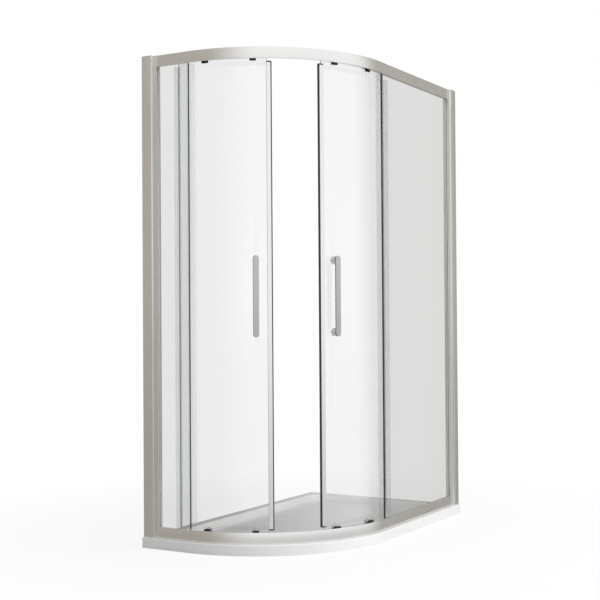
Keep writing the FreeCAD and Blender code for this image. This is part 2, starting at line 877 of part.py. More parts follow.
def save_door(side, tip, sweep, put):
    """Every piece of one sliding door, where the doors stand a little open."""
    def at(shape, from_tip):
        return put(turned(shape, tip - from_tip))

    rollers = {"front": front_roller_angle, "rear": rear_roller_angle}
    save(side + "_door_glass", [put(door_glass(tip, sweep))])
    save(side + "_edge_profile", [put(edge_profile(tip))])
    save(side + "_edge_profile_caps", [put(cap) for cap in edge_profile_caps(tip)])
    save(side + "_magnet_seal", [put(magnet_seal(tip))])
    save(side + "_trailing_seal", [put(trailing_seal(tip, sweep))])
    save(side + "_handle_bar", [at(handle_bar(), handle_angle)])
    save(side + "_handle_legs", [at(leg, handle_angle) for leg in handle_legs()])
    save(side + "_handle_discs", [at(disc, handle_angle) for disc in handle_discs()])
    screws = [at(screw, handle_angle) for screw in handle_screws()]
    for from_tip in rollers.values():
        screws += [at(screw, from_tip) for screw in roller_screws()]
    save(side + "_door_screws", screws)
    save(side + "_top_brackets", [at(top_bracket(), place) for place in rollers.values()])
    save(side + "_top_axles", [at(top_axle(), place) for place in rollers.values()])
    save(side + "_bottom_brackets", [at(bottom_bracket(), place) for place in rollers.values()])
    save(side + "_release_housings", [at(release_housing(), place) for place in rollers.values()])
    for name, place in rollers.items():
        save(side + "_top_wheel_" + name, [at(upended(wheel()), place)])
        save(side + "_release_slider_" + name, [at(release_slider(), place)])
        save(side + "_bottom_wheel_" + name, [at(wheel(), place)])


os.makedirs("parts", exist_ok=True)

save("shower_tray", [shower_tray()])
save("waste_flange", [waste_flange()])
save("waste_cover", [waste_cover()])

left_pivot = FreeCAD.Vector(left_swing_x, left_swing_y, 0)
right_pivot = FreeCAD.Vector(right_swing_x, right_swing_y, 0)
sides = {
    "left": (left_reach, left_glass_overrun, as_is, left_tip_bearing, left_door_angle, left_pivot),
    "right": (right_reach, right_glass_overrun, mirrored, right_tip_bearing, right_door_angle, right_pivot),
}
caps = []
brackets = []
bracket_screws = []
locking_screws = []
stops = []
rail = bottom_rail()
for side, (reach, overrun, put, tip, sweep, pivot) in sides.items():
    save_side(side, reach, overrun, put)
    save_door(side, tip, sweep, put)
    caps.append(put(channel_cap(reach)))
    locking_screws += [put(screw) for screw in post_screws(reach)]
    bracket, fixings, holes = end_bracket_parts(reach)
    brackets += [put(bracket), put(upended(bracket))]
    for fixing in fixings:
        bracket_screws += [put(fixing), put(upended(fixing))]
    for hole in holes:
        rail = rail.cut(put(hole))
    stop = door_stop(tip, pivot)
    stops += [put(stop), put(upended(stop))]

save("bottom_rail", [rail])
save("top_rail", [upended(rail)])
save("channel_caps", caps)
save("post_screws", locking_screws)
save("rail_end_brackets", brackets)
save("rail_end_screws", bracket_screws)
save("door_stops", stops)
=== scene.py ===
import math

import bmesh
import bpy
from mathutils import Matrix, Vector
from mathutils.geometry import delaunay_2d_cdt


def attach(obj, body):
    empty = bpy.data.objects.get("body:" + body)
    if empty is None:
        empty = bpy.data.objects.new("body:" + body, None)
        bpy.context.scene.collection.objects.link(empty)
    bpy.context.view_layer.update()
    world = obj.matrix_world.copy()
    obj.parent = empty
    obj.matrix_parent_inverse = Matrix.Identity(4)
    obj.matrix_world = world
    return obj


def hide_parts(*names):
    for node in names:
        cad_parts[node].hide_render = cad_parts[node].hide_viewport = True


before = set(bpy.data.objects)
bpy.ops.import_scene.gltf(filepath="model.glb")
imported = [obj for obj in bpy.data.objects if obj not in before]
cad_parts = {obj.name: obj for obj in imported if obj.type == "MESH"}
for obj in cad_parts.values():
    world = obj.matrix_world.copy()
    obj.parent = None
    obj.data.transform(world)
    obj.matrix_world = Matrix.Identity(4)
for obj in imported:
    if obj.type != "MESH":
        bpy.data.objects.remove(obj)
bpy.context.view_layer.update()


# ---- Shower tray ----
# A slim tray cast in one piece from stone resin under a white gel coat, and
# bedded level on the floor. Its rim, slope and basin run softly into each
# other, and the waste sits in a shallow seat near the curved front.

mm = 0.001
tray_length, tray_depth, tray_radius = 1310 * mm, 770 * mm, 558 * mm
tray_height, tray_edge_round, tray_corner = 40 * mm, 4 * mm, 6 * mm
curve_centre = Vector((tray_radius - tray_length / 2, tray_radius - tray_depth / 2, tray_height))
rim_front, rim_wall, basin_corner = 82 * mm, 46 * mm, 60 * mm
slope_width, basin_depth, shoulder_round, foot_round = 30 * mm, 22 * mm, 14 * mm, 22 * mm
waste_from_centre = 372 * mm
seat_radius, seat_depth, waste_hole = 57.5 * mm, 3 * mm, 45 * mm
corner_steps, side_steps, wall_steps, front_steps = 12, 16, 24, 96
crease_angle = 35


class Wire:
    """A node's output that takes part in sums, so that a formula reads as one."""

    def __init__(self, bench, socket):
        self.bench, self.socket = bench, socket

    def out(self, name):
        """Another output of the same node."""
        return Wire(self.bench, self.socket.node.outputs[name])

    def math(self, operation, *others):
        """The result of a Math node on this value and others."""
        values = dict(enumerate((self,) + others))
        return self.bench.add("ShaderNodeMath", {"operation": operation}, values)

    def __add__(self, other):
        return self.math("ADD", other)

    def __sub__(self, other):
        return self.math("SUBTRACT", other)

    def __rsub__(self, other):
        return self.bench.add("ShaderNodeMath", {"operation": "SUBTRACT"}, {0: other, 1: self})

    def __mul__(self, other):
        return self.math("MULTIPLY", other)

    def __truediv__(self, other):
        return self.math("DIVIDE", other)

    def __pow__(self, other):
        return self.math("POWER", other)

    def axis(self, name):
        """One coordinate of a vector."""
        return self.bench.add("ShaderNodeSeparateXYZ", {}, {0: self}).out(name)

    def held(self):
        """The value kept between 0 and 1."""
        return self.bench.add("ShaderNodeClamp", {}, {"Value": self})

    __radd__, __rmul__ = __add__, __mul__


class Bench:
    """A node tree, to which nodes are added one call at a time."""

    def __init__(self, tree):
        self.tree = tree

    def add(self, kind, settings, sockets):
        """A new node: its settings first, then the values and links of its sockets."""
        node = self.tree.nodes.new(kind)
        for name, value in settings.items():
            setattr(node, name, value)
        for name, value in sockets.items():
            if isinstance(value, Wire):
                self.tree.links.new(value.socket, node.inputs[name])
            else:
                node.inputs[name].default_value = value
        shown = [socket for socket in node.outputs if socket.enabled]
        return Wire(self, shown[0]) if shown else None

    def blend(self, factor, first, second):
        """A colour that goes from first to second as factor goes from 0 to 1."""
        first, second = [c if isinstance(c, Wire) else (*c, 1.0) for c in (first, second)]
        mix = self.add("ShaderNodeMix", {"data_type": "RGBA"}, {0: factor, 6: first, 7: second})
        return Wire(self, mix.socket.node.outputs[2])


def new_finish(name):
    """An empty material and the bench for its nodes."""
    material = bpy.data.materials.new(name)
    material.use_nodes = True
    material.node_tree.nodes.clear()
    return material, Bench(material.node_tree)


def grain(bench, scale, detail, stretch=(1, 1, 1)):
    """Noise on the piece's own coordinates, stretched by a factor along each axis."""
    place = bench.add("ShaderNodeTexCoord", {}, {}).out("Object")
    drawn = bench.add("ShaderNodeMapping", {}, {"Vector": place, "Scale": stretch})
    return bench.add("ShaderNodeTexNoise", {}, {"Vector": drawn, "Scale": scale, "Detail": detail})


def coated(bench, sockets):
    """Close a material with one principled surface."""
    surface = bench.add("ShaderNodeBsdfPrincipled", {}, sockets)
    bench.add("ShaderNodeOutputMaterial", {}, {"Surface": surface})


def relief(bench, height, strength, distance=0.1 * mm):
    """A normal raised by a height signal."""
    return bench.add("ShaderNodeBump", {}, {"Height": height, "Strength": strength, "Distance": distance})


def in_scene(name, data):
    """A new object that shows a mesh, a curve, a camera or a lamp."""
    thing = bpy.data.objects.new(name, data)
    bpy.context.scene.collection.objects.link(thing)
    return thing


def solid(name, points, faces, materials, crease=crease_angle):
    """A closed mesh with outward faces, smooth apart from edges past the crease angle."""
    mesh = bpy.data.meshes.new(name)
    mesh.from_pydata([tuple(point) for point in points], [], faces)
    return shaped(name, mesh, materials, crease)


def shaped(name, mesh, materials, crease=crease_angle):
    """Clean a closed mesh, turn its faces outwards and put it in the scene."""
    work = bmesh.new()
    work.from_mesh(mesh)
    bmesh.ops.remove_doubles(work, verts=work.verts, dist=1e-6)
    bmesh.ops.recalc_face_normals(work, faces=work.faces)
    for face in work.faces:
        face.smooth = True
    work.to_mesh(mesh)
    work.free()
    mesh.set_sharp_from_angle(angle=math.radians(crease))
    mesh.materials.clear()
    for material in materials:
        mesh.materials.append(material)
    return in_scene(name, mesh)


def arc(centre, radius, start, end, count):
    """Points on an arc in plan, angles in degrees, both ends included."""
    angles = [math.radians(start + (end - start) * step / count) for step in range(count + 1)]
    return [(centre[0] + radius * math.cos(a), centre[1] + radius * math.sin(a)) for a in angles]


def run(start, end, count):
    """Evenly spaced points on a straight line, the last one left out."""
    return [tuple(a + (b - a) * step / count for a, b in zip(start, end)) for step in range(count)]


def tray_line(front, wall, corner):
    """The tray's outline in plan, drawn in by a width in front and at the walls."""
    radius = tray_radius - front
    radius, left = tray_radius - front, front - tray_radius
    back = tray_depth - tray_radius - wall
    right = tray_length - tray_radius - wall
    line = run((left, 0), (left, back - corner), side_steps // 2)
    line += arc((left + corner, back - corner), corner, 180, 90, corner_steps)
    line += run((left + corner, back), (right - corner, back), wall_steps)[1:]
    line += arc((right - corner, back - corner), corner, 90, 0, corner_steps)
    line += run((right, back - corner), (right, corner - radius), side_steps)[1:]
    line += arc((right - corner, corner - radius), corner, 0, -90, corner_steps)
    line += run((right - corner, -radius), (0, -radius), side_steps)[1:]
    return line + arc((0, 0), radius, -90, -180, front_steps)[:-1]


def circle(radius, level, bearings, middle=0.0):
    """A level ring of points at given bearings, round the origin or a place on the diagonal."""
    return [(middle + radius * math.cos(a), middle + radius * math.sin(a), level) for a in bearings]


def bridged(rings):
    """Faces that join rings of equal length, each closed on itself."""
    size = len(rings[0])
    faces = []
    for base in range(0, size * (len(rings) - 1), size):
        for step in range(size):
            after = (step + 1) % size
            faces.append((base + step, base + after, base + size + after, base + size + step))
    return faces


def softened_fall(steps=6):
    """The slope's profile: a rounded shoulder, a straight fall and a rounded foot."""
    pitch = math.atan2(basin_depth, slope_width)
    shoulder, foot = shoulder_round * math.tan(pitch / 2), foot_round * math.tan(pitch / 2)
    turns = [pitch * step / steps for step in range(steps + 1)]
    fall = [(shoulder_round * math.sin(t) - shoulder, shoulder_round * (math.cos(t) - 1)) for t in turns]
    return fall + [(slope_width + foot - foot_round * math.sin(t),
                    foot_round * (1 - math.cos(t)) - basin_depth) for t in reversed(turns)]


def shower_tray(edge_steps=6):
    """One skin of rings: up the side, over the rim, down the slope and out through the waste."""
    levels = [(0, 0, tray_corner, -tray_height)]
    for step in range(edge_steps + 1):
        turn = math.pi / 2 * step / edge_steps
        inset = tray_edge_round * (1 - math.cos(turn))
        levels.append((inset, inset, tray_corner - inset / 2, tray_edge_round * (math.sin(turn) - 1)))
    levels.append((rim_front / 2, rim_wall / 2, (tray_corner + basin_corner) / 2, 0))
    for inset, height in softened_fall():
        levels.append((rim_front + inset, rim_wall + inset, basin_corner - max(inset, 0), height))
    rings = [[(x, y, height) for x, y in tray_line(*insets)] for *insets, height in levels]
    middle, foot = -waste_from_centre * math.sqrt(0.5), rings[-1]
    bearings = [math.atan2(y - middle, x - middle) for x, y, _ in foot]
    seat = circle(seat_radius, -basin_depth, bearings, middle)
    for share in (0.25, 0.5, 0.75):
        rings.append([tuple(p + (q - p) * share for p, q in zip(a, b)) for a, b in zip(foot, seat)])
    rings.append(seat)
    for radius, height in ((seat_radius, -basin_depth - seat_depth),
                           (waste_hole, -basin_depth - seat_depth), (waste_hole, -tray_height)):
        rings.append(circle(radius, height, bearings, middle))
    rings.append(rings[0])
    points = [Vector(point) + curve_centre for ring in rings for point in ring]
    return solid("tray_casting", points, bridged(rings), [gel_coat], crease=50)


gel_coat, bench = new_finish("tray_gel_coat")
cloud, ripple, scuff = grain(bench, 7.0, 3.0), grain(bench, 90.0, 1.0), grain(bench, 60.0, 6.0)
height = bench.add("ShaderNodeTexCoord", {}, {}).out("Object").axis("Z")
upward = bench.add("ShaderNodeNewGeometry", {}, {}).out("Normal").axis("Z").held()
# Painted shade: deeper in the basin the upward faces get a darker colour. The same depth mask also adds
# scuffed roughness there.
basin_shade_and_wear = ((curve_centre.z - height) / basin_depth).held()
fresh = bench.blend(cloud, (0.83, 0.832, 0.83), (0.86, 0.86, 0.858))
coated(bench, {
    "Base Color": bench.blend(basin_shade_and_wear * upward, fresh, (0.785, 0.787, 0.78)),
    "Roughness": 0.14 + 0.06 * cloud + 0.08 * basin_shade_and_wear * scuff,
    "Normal": relief(bench, ripple, 0.06),
    "Coat Weight": 0.3,
    "Coat Roughness": 0.08,
})
tray = shower_tray()
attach(tray, "frame")
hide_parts("shower_tray")


# ---- Waste ----
# A plated brass ring seated in the tray, with its sleeve down to the trap, and
# a low domed lid on three feet that lifts out by hand. The plating is polished
# and shows fine rings from cleaning.


def break_edges(work, width, crease):
    """Bevel every edge that is sharper than the crease angle."""
    edges = [e for e in work.edges if e.is_manifold and e.calc_face_angle(0) > math.radians(crease)]
    bmesh.ops.bevel(work, geom=edges, offset=width, segments=2, profile=0.5, affect="EDGES",
                    clamp_overlap=True)


def softened(node, name, width, material):
    """A copy of a turned or machined node with its sharp edges broken."""
    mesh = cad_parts[node].data.copy()
    work = bmesh.new()
    work.from_mesh(mesh)
    bmesh.ops.remove_doubles(work, verts=work.verts, dist=2e-6)
    flat = math.radians(0.3)
    bmesh.ops.dissolve_limit(work, angle_limit=flat, verts=work.verts, edges=work.edges)
    break_edges(work, width, crease_angle)
    bmesh.ops.triangulate(work, faces=[f for f in work.faces if len(f.verts) > 4])
    work.to_mesh(mesh)
    work.free()
    return shaped(name, mesh, [material])


def finish(name, *colours, roughness, drift, texture=None, raised=0.1, metallic=0.0, distance=0.1 * mm):
    """A material whose colour and roughness drift together, raised by a finer texture or the drift."""
    material, bench = new_finish(name)
    cloud = grain(bench, *drift)
    skin = grain(bench, *texture) if texture else cloud
    least, spread = roughness
    coated(bench, {
        "Base Color": bench.blend(cloud, *colours),
        "Metallic": metallic,
        "Roughness": least + spread * cloud,
        "Normal": relief(bench, skin, raised, distance),
    })
    return material


plating = finish("chrome_plating", (0.83, 0.84, 0.85), (0.90, 0.90, 0.895), metallic=1.0,
                 roughness=(0.05, 0.07), drift=(9.0, 4.0), texture=(420.0, 2.0), raised=0.04)
for node, name, body, slot in (
    ("waste_flange", "waste_ring", "frame", "moulded_grey"),
    ("waste_cover", "waste_lid", "waste_cover", "chrome_plate"),
):
    piece = softened(node, name, 0.5 * mm, plating)
    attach(piece, body)
    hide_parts(node)


# ---- Curved rails ----
# One aluminium extrusion, rolled round a quarter turn with a straight run at
# each end, used once on the tray and once upside down at the top. It has a
# plain fascia, a groove for the fixed glass and a lipped track for the wheels.

reach = {"left": 206 * mm, "right": 746 * mm}
frame_height, frame_side = 1850 * mm, 65 * mm
rail_front, rail_back, rail_height, rail_wall = 544 * mm, 498 * mm, 44 * mm, 2.5 * mm
groove_front, groove_back, rib_back = 541.5 * mm, 529 * mm, 527 * mm
track_back, bead_front, rib_height, lip_under = 514.5 * mm, 516 * mm, 37 * mm, 34 * mm
bead_under, dam_front, dam_height = 31.5 * mm, 500 * mm, 6 * mm
bend_start, bend_steps = 4 * mm, 120


def rounded(corners, radii, steps=3):
    """A closed outline with each corner rounded by its own radius, as far as its sides allow."""
    almost_half = 0.49
    outline = []
    for index, (corner, radius) in enumerate(zip(corners, radii)):
        here = Vector(corner)
        before = Vector(corners[index - 1]) - here
        after = Vector(corners[(index + 1) % len(corners)]) - here
        half = before.angle(after) / 2
        cut = min(radius / math.tan(half), before.length * almost_half, after.length * almost_half)
        radius = cut * math.tan(half)
        first, last = before.normalized(), after.normalized()
        centre = here + (first + last).normalized() * (radius / math.sin(half))
        start, end = here + first * cut - centre, here + last * cut - centre
        for step in range(steps + 1):
            share = step / steps
            spoke = (start * (1 - share) + end * share).normalized() * radius
            outline.append(tuple(centre + spoke))
    return outline


def drawn_line(name, points, closed):
    """A curve of straight pieces, to sweep or to sweep along."""
    curve = bpy.data.curves.new(name, "CURVE")
    curve.dimensions = "3D"
    line = curve.splines.new("POLY")
    line.points.add(len(points) - 1)
    for place, point in zip(line.points, points):
        place.co = (*point, 1.0)
    line.use_cyclic_u = closed
    return in_scene(name, curve)


def new_tree(name, inputs):
    """A geometry tree with named inputs, and a bench for it."""
    tree = bpy.data.node_groups.new(name, "GeometryNodeTree")
    tree.interface.new_socket("Geometry", in_out="INPUT", socket_type="NodeSocketGeometry")
    for label, kind in inputs:
        tree.interface.new_socket(label, in_out="INPUT", socket_type=kind)
    tree.interface.new_socket("Geometry", in_out="OUTPUT", socket_type="NodeSocketGeometry")
    bench = Bench(tree)
    return bench, bench.add("NodeGroupInput", {}, {})


def close_tree(bench, geometry, material):
    """End a tree with real geometry in one material."""
    real = bench.add("GeometryNodeRealizeInstances", {}, {"Geometry": geometry})
    done = bench.add("GeometryNodeSetMaterial", {}, {"Geometry": real, "Material": material})
    bench.add("NodeGroupOutput", {}, {"Geometry": done})
    return bench.tree


def grown(thing, tree, values, name):
    """Run a geometry tree on a thing and keep the result as a plain mesh."""
    modifier = thing.modifiers.new(tree.name, "NODES")
    modifier.node_group = tree
    for item in tree.interface.items_tree:
        if item.in_out == "INPUT" and item.name in values:
            modifier[item.identifier] = values[item.name]
    thing.update_tag()
    depsgraph = bpy.context.evaluated_depsgraph_get()
    mesh = bpy.data.meshes.new_from_object(thing.evaluated_get(depsgraph))
    material = [m for m in mesh.materials if m]
    bpy.data.objects.remove(thing)
    return shaped(name, mesh, material)


bench, given = new_tree("rolled_extrusion", [
    ("Section", "NodeSocketObject"), ("Material", "NodeSocketMaterial")])
upright_line = bench.add("GeometryNodeSetCurveNormal", {"mode": "Z_UP"}, {"Curve": given.out("Geometry")})
section = bench.add("GeometryNodeObjectInfo", {}, {"Object": given.out("Section")}).out("Geometry")
sweep = {"Curve": upright_line, "Profile Curve": section, "Fill Caps": True}
rolling_tree = close_tree(bench, bench.add("GeometryNodeCurveToMesh", {}, sweep), given.out("Material"))


def brushed(name, pale, dark, roughness, stretch):
    """Satin anodised aluminium with fine drawn lines along the extrusion."""
    material, bench = new_finish(name)
    drawn, haze = grain(bench, 1.0, 3.0, stretch), grain(bench, 5.0, 2.0)
    coated(bench, {
        "Base Color": bench.blend(haze * 0.5 + drawn * 0.5, dark, pale),
        "Metallic": 1.0,
        "Roughness": roughness - 0.05 + 0.07 * drawn + 0.05 * haze,
        "Normal": relief(bench, drawn, 0.12),
    })
    return material


rail_satin = brushed("rail_satin", (0.93, 0.925, 0.915), (0.84, 0.83, 0.815),
                     roughness=0.26, stretch=(6, 6, 900))
rail_corners = [
    (rail_front, 0, 0.9), (rail_front, rail_height, 0.9), (groove_front, rail_height, 0.5),
    (groove_front, rail_wall, 0.4), (groove_back, rail_wall, 0.4), (groove_back, rib_height, 0.4),
    (track_back, rib_height, 0.5), (track_back, bead_under, 0.4), (bead_front, bead_under, 0.3),
    (bead_front, lip_under, 0.3), (rib_back, lip_under, 0.4), (rib_back, rail_wall, 0.4),
    (dam_front, rail_wall, 0.4), (dam_front, dam_height, 0.5), (rail_back, dam_height, 0.5),
    (rail_back, 0, 0.5),
]
rail_section = rounded([(r, z) for r, z, _ in rail_corners], [radius * mm for _, _, radius in rail_corners])
rail_path = [(-rail_front, reach["left"] - frame_side), (-rail_front, bend_start)]
rail_path += arc((0, 0), rail_front, 180, 270, bend_steps)
rail_path += [(bend_start, -rail_front), (reach["right"] - frame_side, -rail_front)]
for node, name, foot, lift in (
    ("bottom_rail", "bottom_rail_extrusion", 0.0, 1),
    ("top_rail", "top_rail_extrusion", frame_height, -1),
):
    section_line = drawn_line("rail_section", [(r - rail_front, -lift * z, 0) for r, z in rail_section], True)
    path = [Vector((x, y, foot)) + curve_centre for x, y in rail_path]
    path_line = drawn_line("rail_path", path, False)
    rail = grown(path_line, rolling_tree, {"Section": section_line, "Material": rail_satin}, name)
    bpy.data.objects.remove(section_line)
    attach(rail, "frame")
    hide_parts(node)


# ---- Wall channels, posts and caps ----
# A U channel screwed to each wall, a glazing post that slides in it to take up
# an uneven wall, and a moulded cap on top. Channel and post are the same satin
# aluminium as the rails, drawn upright.

upright_satin = brushed("upright_satin", (0.93, 0.92, 0.905), (0.83, 0.815, 0.80),
                        roughness=0.28, stretch=(900, 900, 5))
for node, name in (
    ("left_wall_channel", "left_channel_extrusion"), ("right_wall_channel", "right_channel_extrusion"),
    ("left_wall_post", "left_post_extrusion"), ("right_wall_post", "right_post_extrusion"),
):
    piece = softened(node, name, 0.5 * mm, upright_satin)
    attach(piece, "frame")
    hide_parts(node)

cap_grey = finish("moulded_grey", (0.36, 0.355, 0.35), (0.42, 0.415, 0.41),
                  roughness=(0.38, 0.12), drift=(30.0, 2.0), texture=(900.0, 2.0), raised=0.15)
caps = softened("channel_caps", "channel_end_caps", 0.6 * mm, cap_grey)
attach(caps, "frame")
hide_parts("channel_caps")


# ---- Fixed panes ----
# Flat 6 mm toughened glass, held by rubber strips in the post and in both
# rails. The faces are clear and take on the tone of what they mirror; the
# ground edges show the glass's own dark green.

fixed_glass_back, fixed_glass_front = 532.25 * mm, 538.25 * mm
glass_seat, glass_bite, glass_corner, ground_edge = 6 * mm, 13 * mm, 0.7 * mm, 0.6 * mm
glass_overrun = {"left": 3 * mm, "right": -32 * mm}
in_sheet = 0.99


def spot(side, x, y, z):
    """A point drawn for the short side, or its twin on the long side."""
    return curve_centre + (Vector((x, y, z)) if side == "left" else Vector((y, x, z)))


def glass_face(name, tint, mirror):
    """Clear glass: it lets light through with a tint and mirrors more at a slant."""
    material, bench = new_finish(name)
    slant = bench.add("ShaderNodeLayerWeight", {}, {"Blend": 0.5}).out("Facing")
    streak = grain(bench, 1.0, 3.0, (12, 12, 1.5))
    mirrored = (mirror + (1 - mirror) * slant ** 5) * (0.92 + 0.16 * streak)
    seen = bench.add("ShaderNodeBsdfTransparent", {}, {"Color": (*tint, 1)})
    shine = bench.add("ShaderNodeBsdfGlossy", {}, {"Roughness": 0.03 * streak, "Color": (1, 1, 1, 1)})
    pane = bench.add("ShaderNodeMixShader", {}, {0: mirrored, 1: seen, 2: shine})
    bench.add("ShaderNodeOutputMaterial", {}, {"Surface": pane})
    return material


def glass_edge(name, deep, pale):
    """The ground and polished edge of a pane, dark because light runs along it."""
    material, bench = new_finish(name)
    grind = grain(bench, 10.0, 3.0, (40, 40, 3))
    coated(bench, {
        "Base Color": bench.blend(grind, deep, pale),
        "Roughness": 0.12 + 0.2 * grind,
        "Coat Weight": 0.5,
        "Coat Roughness": 0.05,
        "Normal": relief(bench, grind, 0.1),
    })
    return material


def capped(rings):
    """Faces that join rings and close the first and the last."""
    size, last = len(rings[0]), len(rings[0]) * (len(rings) - 1)
    return bridged(rings) + [tuple(range(size))[::-1], tuple(range(last, last + size))]


def upright(side, outline, foot, chamfer=0.3 * mm):
    """A plan outline drawn up, as far from both ends of the frame, its own ends chamfered."""
    area = sum(a[0] * b[1] - b[0] * a[1] for a, b in zip(outline, outline[1:] + outline[:1]))
    turn = 1 if area > 0 else -1

    def ring(inset, height):
        points = []
        for index, point in enumerate(outline):
            before, after = Vector(outline[index - 1]), Vector(outline[(index + 1) % len(outline)])
            along = (after - before).normalized()
            moved = Vector(point) + Vector((-along.y, along.x)) * turn * inset
            points.append(spot(side, moved.x, moved.y, height))
        return points

    head = frame_height - foot
    rings = [ring(chamfer, foot), ring(0, foot + chamfer), ring(0, head - chamfer), ring(chamfer, head)]
    return [point for points in rings for point in points], capped(rings)


fixed_face = glass_face("fixed_glass_clear", (0.915, 0.919, 0.918), mirror=0.07)
fixed_edge = glass_edge("fixed_glass_edge", (0.010, 0.035, 0.036), (0.022, 0.062, 0.062))
for side in ("left", "right"):
    seated = reach[side] - frame_side + glass_bite
    outline = rounded(
        [(-fixed_glass_front, -glass_overrun[side]), (-fixed_glass_back, -glass_overrun[side]),
         (-fixed_glass_back, seated), (-fixed_glass_front, seated)], [glass_corner] * 4)
    points, faces = upright(side, outline, glass_seat, ground_edge)
    pane = solid(side + "_fixed_pane", points, faces, [fixed_face, fixed_edge], crease=20)
    across = 0 if side == "left" else 1
    for polygon in pane.data.polygons:
        polygon.material_index = 0 if abs(polygon.normal[across]) > in_sheet else 1
    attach(pane, "frame")
    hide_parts(side + "_fixed_glass")


# ---- Rubber strips and pane seals ----
# Pale grey rubber strips bed the fixed panes in the rails and posts; their colour
# is painted paler still, painted light that lifts their shaded recesses. A clear
# vinyl seal is pushed on each pane's free edge, and its arm reaches in towards
# the door. Its faces over the glass edge are painted dark, a painted shade for the
# dark glass edge seen through the clear vinyl.

# Painted light: the rubber's pale colour is raised further to lift the shade of the recesses it sits in; the
# track stops share it.
pale_rubber_painted_light = finish("glazing_rubber", (0.84, 0.845, 0.845), (0.90, 0.905, 0.905), roughness=(0.55, 0.2),
                drift=(40.0, 3.0), texture=(1.0, 1.0, (700, 700, 4)), raised=0.2, distance=0.2 * mm)
for side in ("left", "right"):
    strips = softened(side + "_glazing_gasket", side + "_glazing_strips", 0.25 * mm, pale_rubber_painted_light)
    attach(strips, "frame")
    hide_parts(side + "_glazing_gasket")


def vinyl(name, pale, dark, clearness):
    """Soft extruded vinyl that lets part of the light through."""
    material, bench = new_finish(name)
    lines = grain(bench, 1.0, 2.0, (600, 600, 3))
    body = bench.add("ShaderNodeBsdfPrincipled", {}, {
        "Base Color": bench.blend(lines, dark, pale),
        "Roughness": 0.30 + 0.15 * lines,
        "Normal": relief(bench, lines, 0.25, 0.2 * mm),
    })
    through = bench.add("ShaderNodeBsdfTransparent", {}, {"Color": (0.965, 0.975, 0.98, 1.0)})
    both = bench.add("ShaderNodeMixShader", {}, {0: clearness - 0.1 + 0.2 * lines, 1: body, 2: through})
    bench.add("ShaderNodeOutputMaterial", {}, {"Surface": both})
    return material


seal_wall, seal_grip, seal_fin, seal_foot = 1.25 * mm, 6 * mm, 2 * mm, 44.6 * mm
seal_reach, seal_gap, seal_corner = {"left": 15 * mm, "right": 9 * mm}, 5 * mm, 0.35 * mm
door_front, door_back = 509.5 * mm, 503.5 * mm
pane_vinyl = vinyl("pane_seal_vinyl", (0.74, 0.765, 0.77), (0.64, 0.665, 0.67), clearness=0.88)
# Painted shade: a dark vinyl for the seal's faces over the pane's edge, standing in for the dark glass edge
# seen through the clear vinyl.
painted_edge_shade_vinyl = vinyl("pane_seal_painted_edge_shade", (0.030, 0.055, 0.060), (0.018, 0.036, 0.040), clearness=0.20)
for side in ("left", "right"):
    edge = -glass_overrun[side]
    front, back, arm_end = fixed_glass_front + seal_wall, fixed_glass_back - seal_wall, door_front + seal_gap
    corners = [
        (front, seal_grip), (fixed_glass_front, seal_grip), (fixed_glass_front, 0), (fixed_glass_back, 0),
        (fixed_glass_back, seal_grip), (back, seal_grip), (back, seal_fin - seal_reach[side]),
        (arm_end, seal_fin - seal_reach[side]), (arm_end, -seal_reach[side]),
        (fixed_glass_back, -seal_reach[side]), (fixed_glass_back, -seal_wall), (front, -seal_wall),
    ]
    outline = rounded([(-r, edge + shift) for r, shift in corners], [seal_corner] * len(corners))
    points, faces = upright(side, outline, seal_foot)
    seal = solid(side + "_pane_seal", points, faces, [pane_vinyl, painted_edge_shade_vinyl])
    along = 1 if side == "left" else 0
    # The seal's faces over the pane's free edge take the painted shade; the rest stay clear vinyl.
    for polygon in seal.data.polygons:
        middle = polygon.center - curve_centre
        at_edge = middle[1 - along] < -fixed_glass_back and abs(middle[along] - edge) < 2 * seal_wall
        polygon.material_index = 1 if at_edge and abs(polygon.normal[along]) > 0.5 else 0
    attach(seal, "frame")
    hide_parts(side + "_fixed_glass_seal")


# ---- Door panes ----
# Each sliding door is one sheet of 6 mm toughened glass, bent to the track's
# radius and drilled for its handle and its four rollers before it was heated.
# It looks a little clearer than the flat panes, and its edges are painted pale: painted light that lifts
# their shade behind the fixed panes.

door_middle = (door_front + door_back) / 2
door_seat, door_to_post = 8 * mm, 74.9 * mm
left_door_end = reach["left"] - frame_side - door_to_post
door_angle = {"left": 43.3, "right": 49.7}
tip = {"left": door_angle["left"] - math.degrees(math.asin(left_door_end / door_middle)), "right": 33.7}
magnet_width, profile_width, profile_grip = 4 * mm, 16.5 * mm, 8.5 * mm
handle_angle, front_roller, rear_roller = 7.0, 7.9, 28.9
handle_height, leg_spacing = 920 * mm, 273 * mm
leg_lifts = (-leg_spacing / 2, leg_spacing / 2)
wheel_height, release_height, screw_height, screw_offset = 23.7 * mm, 21.7 * mm, 42 * mm, 9.5 * mm
handle_hole, wheel_hole, release_hole, screw_hole = 6 * mm, 5 * mm, 8 * mm, 3 * mm
pane_crease, arris_crease = 25, 60


def all_round(count):
    """Evenly spaced angles for one full turn."""
    return [2 * math.pi * step / count for step in range(count)]


